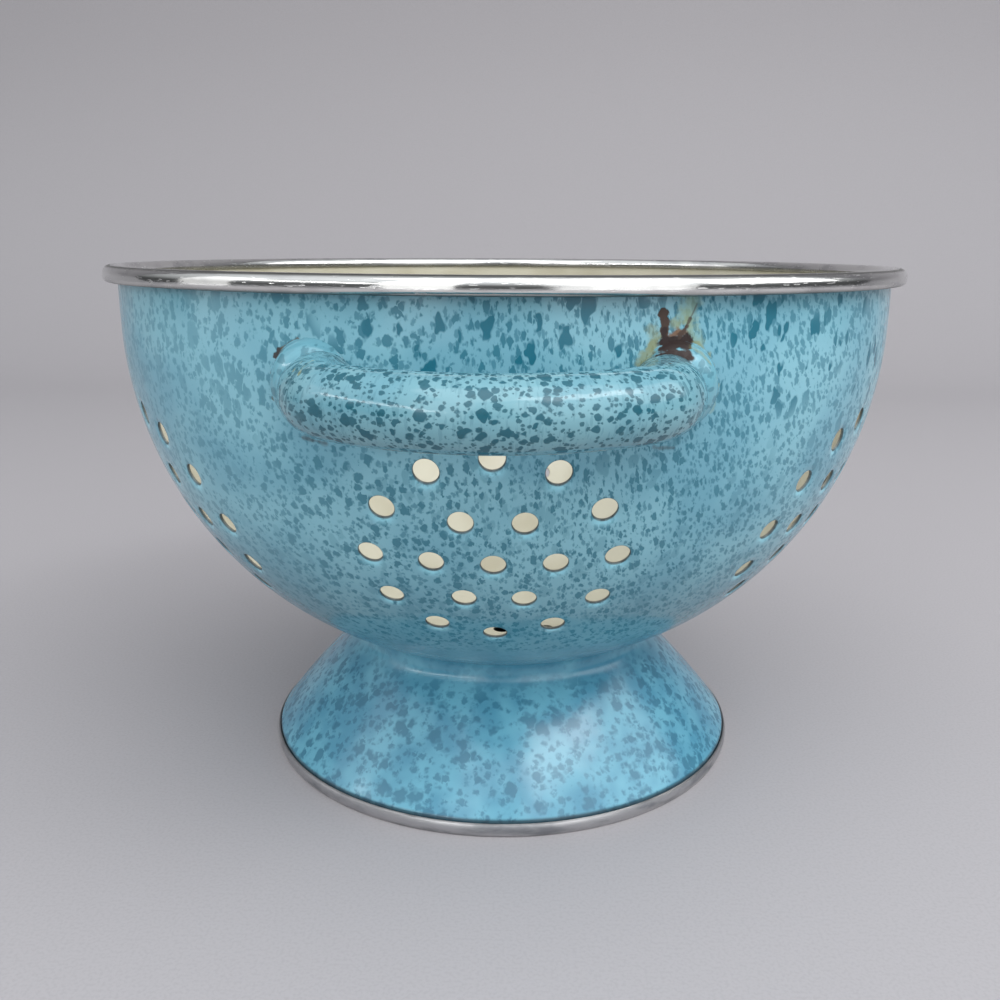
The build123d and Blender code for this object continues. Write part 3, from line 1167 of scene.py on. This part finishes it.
@dataclass
class RimBand:
    """The bright band crimped over the bowl's edge."""

    bowl_radius: float = 116.0 * MM
    top: float = 156.6 * MM
    fold: float = 2.3 * MM
    flange: float = 1.1 * MM
    thick: float = 0.5 * MM
    face: float = 0.8 * MM
    turn: float = 1.3 * MM
    inner_face: float = 1.1 * MM
    bend: float = 0.6 * MM
    gap: float = 0.1 * MM
    lip: float = 0.7 * MM
    fold_steps: int = 10
    turn_steps: int = 8
    brow_from: Range = (48.0, 60.0)
    brow_to: Range = (86.0, 92.0)
    brow_reflection_share: float = 0.8
    inner_share: float = 0.6
    inner_rise: float = 0.1 * MM
    ripple: float = 0.05 * MM
    waves: tuple[tuple[int, float, float], ...] = ((5, 1.0, 0.7), (11, 0.7, 2.1), (23, 0.5, 0.0))
    ripple_reach: float = 4 * MM
    dent_turn: float = math.radians(-73.3)
    dent_width: float = math.radians(1.1)
    dent_depth: float = 0.28 * MM

    def line(self) -> tuple[np.ndarray, np.ndarray]:
        """The band's outer line (r, z), from its inner edge over the top to its lip, and its dull points:
        grime, painted shade under the lower edge, and a painted dark reflection along the brow.
        """
        near = self.bowl_radius + self.bend
        inside = near - self.fold
        far = near + self.flange
        z = self.top - self.fold
        low = z - self.face
        edge = far + self.fold
        lip = self.bowl_radius + self.gap
        line = np.concatenate(
            (
                np.array(((inside, z - self.inner_face), (inside, z - self.inner_face / 2))),
                arc((near, z), self.fold, math.pi, QUARTER, self.fold_steps),
                arc((far, z), self.fold, QUARTER, 0, self.fold_steps),
                np.array(((edge, low + self.face / 2),)),
                arc((edge - self.turn, low), self.turn, 0, -QUARTER, self.turn_steps),
                np.array(((lip + self.lip, low - self.turn), (lip, low - self.turn))),
            )
        )
        # Painted shade under the band's lower edge, and a painted dark reflection along its brow.
        under = np.clip((low - line[:, 1]) / self.turn, 0, 1) * (line[:, 0] > near)
        inner = (line[:, 1] < z + self.inner_rise) & (line[:, 0] < near)
        slope = np.degrees(np.arctan2(line[:, 1] - z, line[:, 0] - far))
        brow = np.interp(slope, (*self.brow_from, *self.brow_to), (0, 1, 1, 0)) * (line[:, 1] > z)
        return line, np.maximum.reduce((under**2, self.inner_share * inner, self.brow_reflection_share * brow))

    def push(self, profile: np.ndarray, angle: np.ndarray) -> np.ndarray:
        """Slow waves and one small dent, which move the outside inwards by fractions of a millimetre."""
        dent = np.exp(-(((angle - self.dent_turn % TURN) / self.dent_width) ** 2))
        inward = self.ripple * ripples(self.waves, angle) - self.dent_depth * dent
        return np.clip((profile[:, :1] - self.bowl_radius) / self.ripple_reach, 0, 1) * inward

    def build(self) -> bpy.types.Object:
        """Builds the band as a folded sheet with its place and its dull folds, grime and painted shade, on
        its points.
        """
        line, fold = self.line()
        points, faces, _, wrap = folded_sheet(line, self.thick, self.bowl_radius, self.push)
        folds = np.concatenate((fold, np.ones(len(line))))
        marks = {"wrap": wrap, "fold": np.repeat(folds, ROUND_STEPS)}
        return make_piece("rim_band", points, [faces], marks)


@dataclass
class Foot:
    """The flared foot: one sheet from its seat under the bowl to its upright edge, with a smooth throat."""

    sheet: Sheet = field(default_factory=Sheet)
    thick: float = 1.1 * MM
    neck: float = 46.2 * MM
    seat: float = 5.7 * MM
    bead: float = 4.2 * MM
    throat_dip: float = 0.9 * MM
    throat_share: float = 0.12
    crown: float = 0.9 * MM
    edge: float = 76.8 * MM
    edge_height: float = 4.9 * MM
    edge_end: float = 0.6 * MM
    sink: float = 0.4 * MM
    skirt_steps: int = 60
    throat_steps: int = 12
    outer_steps: int = 72
    inner_steps: int = 24
    relax: int = 10

    def skin_height(self, r: float, depth: float) -> float:
        """Height of the bowl's skin at a radius and a depth in the sheet."""
        return self.sheet.middle - math.sqrt((self.sheet.curve - depth) ** 2 - (r - self.sheet.flat) ** 2)

    def section(self) -> np.ndarray:
        """The closed section (r, z): throat and skirt outside, the upright edge, and back inside.

        The outer line is relaxed by repeated averaging, so that the throat flows into the skirt.
        """
        neck = np.array((self.neck, self.skin_height(self.neck, 0)))
        rim = np.array((self.edge, self.edge_height))
        skirt = bulged(neck, rim, self.crown, self.skirt_steps)
        skirt = skirt[round(self.skirt_steps * self.throat_share) :]
        root = np.array((self.neck + self.bead, self.skin_height(self.neck + self.bead, self.sink)))
        throat = bulged(root, skirt[0], -self.throat_dip, self.throat_steps)
        outside = np.concatenate((throat[:-1], skirt))
        span = run_length(outside)
        even = np.linspace(0, span[-1], self.outer_steps)
        outside = np.stack([np.interp(even, span, outside[:, k]) for k in range(2)], axis=-1)
        for _ in range(self.relax):
            outside[1:-1] = (outside[:-2] + 2 * outside[1:-1] + outside[2:]) / 4
        inside = beside(bulged(neck, rim, self.crown, self.inner_steps), self.thick)[::-1]
        inner_seat = self.neck - self.seat
        return np.concatenate(
            (
                outside,
                np.array(((self.edge, self.edge_end), (self.edge - self.thick, self.edge_end))),
                inside[:-2],
                np.array(
                    (
                        (inner_seat + self.thick / 2, self.skin_height(inner_seat, 0) - self.thick),
                        (inner_seat, self.skin_height(inner_seat, self.sink)),
                    )
                ),
            )
        )

    def build(self) -> bpy.types.Object:
        """Builds the foot by turning its section about the axis."""
        points, _, faces = revolved(self.section())
        return make_piece("foot_skirt", points.reshape(-1, 3), [faces])


@dataclass
class FootBand:
    """The dull band that closes on the foot's lower edge from both sides."""

    edge: float = 76.8 * MM
    wall: float = 1.1 * MM
    hold: float = 0.6 * MM
    thick: float = 0.5 * MM
    outer_height: float = 4.4 * MM
    inner_height: float = 3.4 * MM
    bulge: float = 1.2 * MM
    flat: float = 1.6 * MM
    outer_steps: int = 14
    inner_steps: int = 10
    fold_height: float = 0.3 * MM
    fold_share: float = 0.5
    ripple: float = 0.04 * MM
    waves: tuple[tuple[int, float, float], ...] = ((7, 1.0, 0.0), (17, 0.6, 1.0))
    ripple_reach: float = 0.6 * MM

    def line(self) -> np.ndarray:
        """The band's outer line (r, z), from its top outside, under the edge, to its top inside."""
        middle = self.edge - self.wall / 2
        outer = through(
            np.array((self.edge + self.hold, self.outer_height)),
            np.array((self.edge + self.bulge, self.outer_height / 2)),
            np.array((middle + self.flat / 2, 0.0)),
            self.outer_steps,
        )
        inner = through(
            np.array((middle - self.flat / 2, 0.0)),
            np.array((self.edge - self.wall - self.bulge, self.inner_height / 2)),
            np.array((self.edge - self.wall - self.hold, self.inner_height)),
            self.inner_steps,
        )
        return np.concatenate((outer, inner))

    def push(self, profile: np.ndarray, angle: np.ndarray) -> np.ndarray:
        """Slow waves, which move the outside inwards by fractions of a millimetre."""
        outward = np.clip((profile[:, :1] - self.edge) / self.ripple_reach, 0, 1)
        return outward * self.ripple * ripples(self.waves, angle)

    def build(self) -> bpy.types.Object:
        """Builds the band as a folded sheet with its place and its dull top on its points."""
        points, faces, profile, wrap = folded_sheet(self.line(), self.thick, self.edge, self.push)
        folds = self.fold_share * (profile[:, 1] > self.outer_height - self.fold_height)
        marks = {"wrap": wrap, "fold": np.repeat(folds, ROUND_STEPS)}
        return make_piece("foot_band", points, [faces], marks)


@dataclass
class Handle:
    """A bent tube with a domed collar at each end, welded to the wall of the bowl."""

    side: Side
    sheet: Sheet = field(default_factory=Sheet)
    tube: float = 7.85 * MM
    reach: float = 139.4 * MM
    height: float = 131.3 * MM
    tilt: float = math.radians(2.4)
    leg: float = 37.4 * MM
    corner: float = 16.0 * MM
    bow: float = 54.0 * MM
    collar: float = 10.2 * MM
    collar_shift: float = 1.8 * MM
    collar_rise: float = 4.2 * MM
    collar_round: float = 6.0 * MM
    collar_flat: float = 1.0 * MM
    collar_length: float = 26 * MM
    sink: float = 0.5 * MM
    leg_end: float = 100 * MM
    ray_start: float = 120 * MM
    crease_shade_width: float = 0.7 * MM
    crease_shade_slack: float = 1.0 * MM
    end_from: float = 32 * MM
    end_run: float = 10 * MM
    steps: int = 72
    leg_steps: int = 17
    corner_steps: int = 24
    bow_steps: int = 20
    dome_steps: int = 12
    collar_steps: int = 7

    def in_space(self, flat: np.ndarray, lift: float | np.ndarray = 0.0) -> np.ndarray:
        """Points of the grip's plane put in space: x along X, y from the front of the bow to the bowl.

        The plane rises towards the bowl by the tilt. Lift is the distance above it.
        """
        run, rise = math.cos(self.tilt), math.sin(self.tilt)
        y = flat[..., 1] * run - lift * rise - self.reach
        z = flat[..., 1] * rise + lift * run + self.height
        return np.stack((flat[..., 0] + 0 * y, y, z), axis=-1)

    def route(self) -> tuple[np.ndarray, np.ndarray]:
        """The tube's middle line on the grip's plane, and the way it goes, from the left leg to the right.

        It runs straight down the leg, round a corner of one radius, and along the bow's larger one; the
        right half is the left half turned over.
        """
        side = self.leg - self.corner
        half = math.asin(side / (self.bow - self.corner))
        corner_y = self.bow - math.sqrt((self.bow - self.corner) ** 2 - side**2)
        leg_y = np.linspace(self.reach - self.leg_end, corner_y, self.leg_steps + 1)[:-1]
        leg = np.stack((np.full(len(leg_y), -self.leg), leg_y), axis=-1)
        corner = arc((-side, corner_y), self.corner, math.pi, QUARTER * 3 - half, self.corner_steps)
        bow = arc((0.0, self.bow), self.bow, QUARTER * 3 - half, QUARTER * 3, self.bow_steps)
        left = np.concatenate((leg, corner, bow[1:]))
        line = np.concatenate((left, left[-2::-1] * np.array((-1, 1))))
        way = np.gradient(line, axis=0)
        return line, way / np.hypot(way[:, 0], way[:, 1])[:, None]

    def sunk(self, points: np.ndarray) -> np.ndarray:
        """Points that lie deeper under the bowl's skin than the weld reaches, drawn back along the leg."""
        way = np.broadcast_to(np.array((0.0, math.cos(self.tilt), math.sin(self.tilt))), points.shape)
        start = points * np.array((1, 0, 1)) - np.array((0, self.ray_start, 0))
        skin = self.sheet.pierce(start, way, self.sink)
        deep = (points[..., 1] > skin[..., 1])[..., None]
        return np.where(deep, skin, points)

    def shells(self) -> list[tuple[np.ndarray, np.ndarray, np.ndarray, np.ndarray]]:
        """The tube and the two collars: points, place along them, tube share and the share of painted crease
        shade.
        """
        line, way = self.route()
        turn = round_angles(self.steps)
        across = np.stack((way[:, 1], -way[:, 0]), axis=-1)
        flat = line[:, None] + self.tube * np.cos(turn)[None, :, None] * across[:, None]
        tube = self.sunk(self.in_space(flat, self.tube * np.sin(turn)[None, :]))
        blank = np.zeros(tube.shape[:2])
        along = run_length(line)
        along = blank + (along - along[-1] / 2)[:, None]
        weld = self.reach - math.sqrt(self.sheet.reach_at(self.height) ** 2 - self.leg**2)
        top = weld - self.collar_rise
        # Painted shade in the crease where the tube passes in front of the collar's top.
        crease_shade = np.clip(1 - np.abs(line[:, 1] - top) / self.crease_shade_width, 0, 1)
        crease_shade = blank + (crease_shade * (np.abs(line[:, 0]) > self.leg - self.crease_shade_slack))[:, None]
        shells = [(tube, along, blank + 1, crease_shade)]
        dome_middle = (self.collar - self.collar_round, self.collar_round)
        dome = arc(dome_middle, self.collar_round, -QUARTER, 0, self.dome_steps)
        deep = np.linspace(self.collar_round, self.collar_length, self.collar_steps + 1)[1:]
        sides = np.stack((np.full(len(deep), self.collar), deep), axis=-1)
        profile = np.concatenate((np.array(((dome_middle[0] - self.collar_flat, 0.0),)), dome, sides))
        radius, depth = profile[:, :1], profile[:, 1:]
        blank = np.zeros((len(profile), self.steps))
        for sign in (-1, 1):
            x = sign * (self.leg + self.collar_shift) + radius * np.cos(turn)
            flat = np.stack((x, blank + top + depth), axis=-1)
            collar = self.sunk(self.in_space(flat, radius * np.sin(turn)))
            shells.append((collar, blank + depth, blank, blank))
        return shells

    def build(self) -> bpy.types.Object:
        """Builds the handle as three closed shells that carry the place along and round the tube."""
        points, faces, first = [], [], 0
        marks = {"wrap": [], "tube": [], "crease_shade": [], "ends": []}
        rounds = self.tube * on_circle(round_angles(self.steps))
        for grid, along, tube, crease_shade in self.shells():
            rows, columns = grid.shape[:2]
            numbers = first + np.arange(rows * columns).reshape(rows, columns)
            last = first + rows * columns
            caps = np.stack((grid[0].mean(axis=0), grid[-1].mean(axis=0)))
            shell = np.concatenate((grid.reshape(-1, 3), caps))
            start, end = cap_faces(numbers[0][::-1], last), cap_faces(numbers[-1], last + 1)
            blocks = [grid_faces(numbers), start, end]
            if volume(np.concatenate((np.zeros((first, 3)), shell)), blocks) < 0:
                blocks = [block[:, ::-1] for block in blocks]
            points.append(shell)
            faces.extend(blocks)
            wrap = np.concatenate((along[..., None], np.broadcast_to(rounds, (rows, columns, 2))), axis=-1)
            far = np.clip((np.abs(along) - self.end_from) / self.end_run, 0, 1)
            marks["wrap"].append(np.concatenate((wrap.reshape(-1, 3), np.zeros((2, 3)))))
            for name, values, cap in (("tube", tube, 1), ("crease_shade", crease_shade, 0), ("ends", far, 1)):
                marks[name].append(np.append(values.ravel(), (cap, cap)))
            first = last + 2
        joined = np.concatenate(points) * np.array((1, self.side.value, 1))
        marks = {name: np.concatenate(values) for name, values in marks.items()}
        return make_piece(f"handle_tube_{self.side.name.lower()}", joined, faces, marks)


# Studio


@dataclass
class Panel:
    """A soft lamp: its place as a compass turn from the front and a height, its size and its power."""

    name: str
    turn: float
    lift: float
    away: float
    width: float
    tall: float
    watts: float
    roll: float = 0.0
    aim: float = 90 * MM

    def build(self) -> None:
        """Stands the lamp at its place, facing the middle of the object."""
        turn, lift = math.radians(self.turn), math.radians(self.lift)
        way = np.array((math.sin(turn) * math.cos(lift), -math.cos(turn) * math.cos(lift), math.sin(lift)))
        place = way * self.away + np.array((0, 0, self.aim))
        level = np.cross((0, 0, 1), way)
        level = level / np.linalg.norm(level)
        roll = math.radians(self.roll)
        side = level * math.cos(roll) + np.cross(way, level) * math.sin(roll)
        up = np.cross(way, side)
        lamp = bpy.data.lights.new(self.name, "AREA")
        lamp.shape = "RECTANGLE"
        lamp.size, lamp.size_y = self.width, self.tall
        lamp.energy = self.watts
        holder = bpy.data.objects.new(self.name, lamp)
        turned = Matrix(np.stack((side, up, way), axis=-1)).to_4x4()
        holder.matrix_world = Matrix.Translation(place) @ turned
        bpy.context.scene.collection.objects.link(holder)


@dataclass
class Studio:
    """A pale floor that curves up into a backdrop, soft lamps, and the camera of the photograph."""

    floor_colour: Colour = paint(168, 165, 168)
    grain: float = 0.9 * MM
    grain_range: Range = (0.4, 0.7)
    grain_shade: float = 0.93
    floor_rough: float = 0.6
    reach: float = 3.0
    back: float = 1.3
    cove: float = 0.5
    cove_steps: int = 16
    wall: float = 2.2
    eye: Triple = (6.993 * MM, -327.733 * MM, 162.889 * MM)
    heading: float = math.radians(1.393)
    pitch: float = math.radians(14.39)
    roll: float = 0.005
    lens: float = 36.018
    sensor: float = 36.0
    nearest: float = 10 * MM
    sky_colour: Colour = (0.94, 0.97, 1.0)
    sky_rise: Range = (0.08, 0.6)
    sky: Range = (0.12, 1.1)
    sky_depth: Range = (-0.2, 0.5)
    sky_shares: Range = (1.0, 0.5)
    panels: tuple[Panel, ...] = (
        Panel("overhead", 20, 64, 1.6, 1.8, 1.1, 9),
        Panel("window", 44, 48, 1.5, 1.1, 0.3, 4.6),
        Panel("ridge", -46, 22, 1.5, 1.5, 0.08, 3.0, roll=-12),
        Panel("window_right", 31, 19, 1.5, 1.0, 1.2, 4.8),
        Panel("side_right", 78, 34, 1.6, 1.2, 1.0, 6.3),
        Panel("window_left", -20, 19, 1.5, 0.5, 1.2, 2.3),
        Panel("strip_left", -80, 17, 1.5, 0.5, 1.1, 1.3),
    )

    def floor(self) -> None:
        """Builds the floor and backdrop: flat, a quarter round, then upright, carried along X."""
        line = np.concatenate(
            (
                np.array(((-self.reach, 0.0),)),
                arc((self.back - self.cove, self.cove), self.cove, -QUARTER, 0, self.cove_steps),
                np.array(((self.back, self.wall),)),
            )
        )
        sides = (np.array((-self.reach, self.reach)), line[:, :1], line[:, 1:])
        points = np.stack([np.broadcast_to(side, (len(line), 2)) for side in sides], axis=-1)
        numbers = np.arange(len(line) * 2).reshape(len(line), 2)
        piece = make_piece("floor", points.reshape(-1, 3), [grid_faces(numbers, closed=False)])
        board = Board("pale_floor")
        grain = board.cloud(board.where, self.grain, 3.0)
        shade = tuple(self.grain_shade * c for c in self.floor_colour)
        colour = board.blend(self.floor_colour, shade, grain.above(*self.grain_range))
        piece.data.materials.append(board.finish(colour, self.floor_rough))

    def camera(self) -> None:
        """Stands the camera where the photograph was taken and turns it the same way."""
        level = np.array((math.cos(self.heading), math.sin(self.heading), 0.0))
        ahead = np.array((-math.sin(self.heading), math.cos(self.heading), 0.0))
        rise = np.array((0.0, 0.0, 1.0))
        forward = math.cos(self.pitch) * ahead - math.sin(self.pitch) * rise
        over = math.sin(self.pitch) * ahead + math.cos(self.pitch) * rise
        right = math.cos(self.roll) * level + math.sin(self.roll) * over
        top = -math.sin(self.roll) * level + math.cos(self.roll) * over
        data = bpy.data.cameras.new("photo_camera")
        data.lens = self.lens
        data.sensor_width = self.sensor
        data.clip_start = self.nearest
        holder = bpy.data.objects.new("photo_camera", data)
        turned = Matrix(np.stack((right, top, -forward), axis=-1)).to_4x4()
        holder.matrix_world = Matrix.Translation(self.eye) @ turned
        bpy.context.scene.collection.objects.link(holder)
        bpy.context.scene.camera = holder

    def world(self) -> None:
        """Sets a pale sky: dim near the ground, and dimmer behind the object than in front of it."""
        world = bpy.data.worlds.new("studio")
        world.use_nodes = True
        tree = world.node_tree
        glow = tree.nodes["Background"].inputs
        split = tree.nodes.new("ShaderNodeSeparateXYZ")
        tree.links.new(tree.nodes.new("ShaderNodeTexCoord").outputs["Generated"], split.inputs[0])
        ranges = (("Z", *self.sky_rise, *self.sky), ("Y", *self.sky_depth, *self.sky_shares))
        product = tree.nodes.new("ShaderNodeMath")
        product.operation = "MULTIPLY"
        for index, (axis, *values) in enumerate(ranges):
            rise = tree.nodes.new("ShaderNodeMapRange")
            for name, value in zip(("From Min", "From Max", "To Min", "To Max"), values):
                rise.inputs[name].default_value = value
            tree.links.new(split.outputs[axis], rise.inputs["Value"])
            tree.links.new(rise.outputs[0], product.inputs[index])
        tree.links.new(product.outputs[0], glow["Strength"])
        glow["Color"].default_value = (*self.sky_colour, 1.0)
        bpy.context.scene.world = world
        bpy.context.scene.view_settings.view_transform = "Standard"

    def build(self) -> None:
        """Builds the floor, the world, the lamps and the camera."""
        self.floor()
        self.world()
        for panel in self.panels:
            panel.build()
        self.camera()


def dress(piece: bpy.types.Object, finish: bpy.types.Material, node: str) -> None:
    """Gives a piece its finish and its place in the frame.

    Args:
        piece: The new piece.
        finish: Its material.
        node: The CAD node that the piece replaces.
    """
    piece.data.materials.append(finish)
    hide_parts(node)
    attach(piece, "root")
    LOG.info("%s: %d faces for %s", piece.name, len(piece.data.polygons), node)


def corners(box: tuple[Sequence[float], Sequence[float]]) -> list[list[float]]:
    """A box's two corners as plain lists of numbers."""
    return [[float(value) for value in corner] for corner in box]


def main() -> None:
    """Builds the studio and the pieces in order."""
    logging.basicConfig(level=logging.INFO, format="%(name)s: %(message)s")
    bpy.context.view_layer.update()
    Studio().build()
    sheet = Sheet()
    dress(Bowl(sheet).build(), BowlEnamel().material(), "bowl")
    dress(RimBand().build(), POLISHED.material(), "rim_trim")
    dress(Foot(sheet).build(), FootEnamel().material(), "foot")
    dress(FootBand().build(), DULL.material(), "foot_trim")
    tube_finish = HandleEnamel().material()
    for side in Side:
        node = f"handle_{side.name.lower()}"
        dress(Handle(side, sheet).build(), tube_finish, node)


if __name__ == "__main__":
    main()
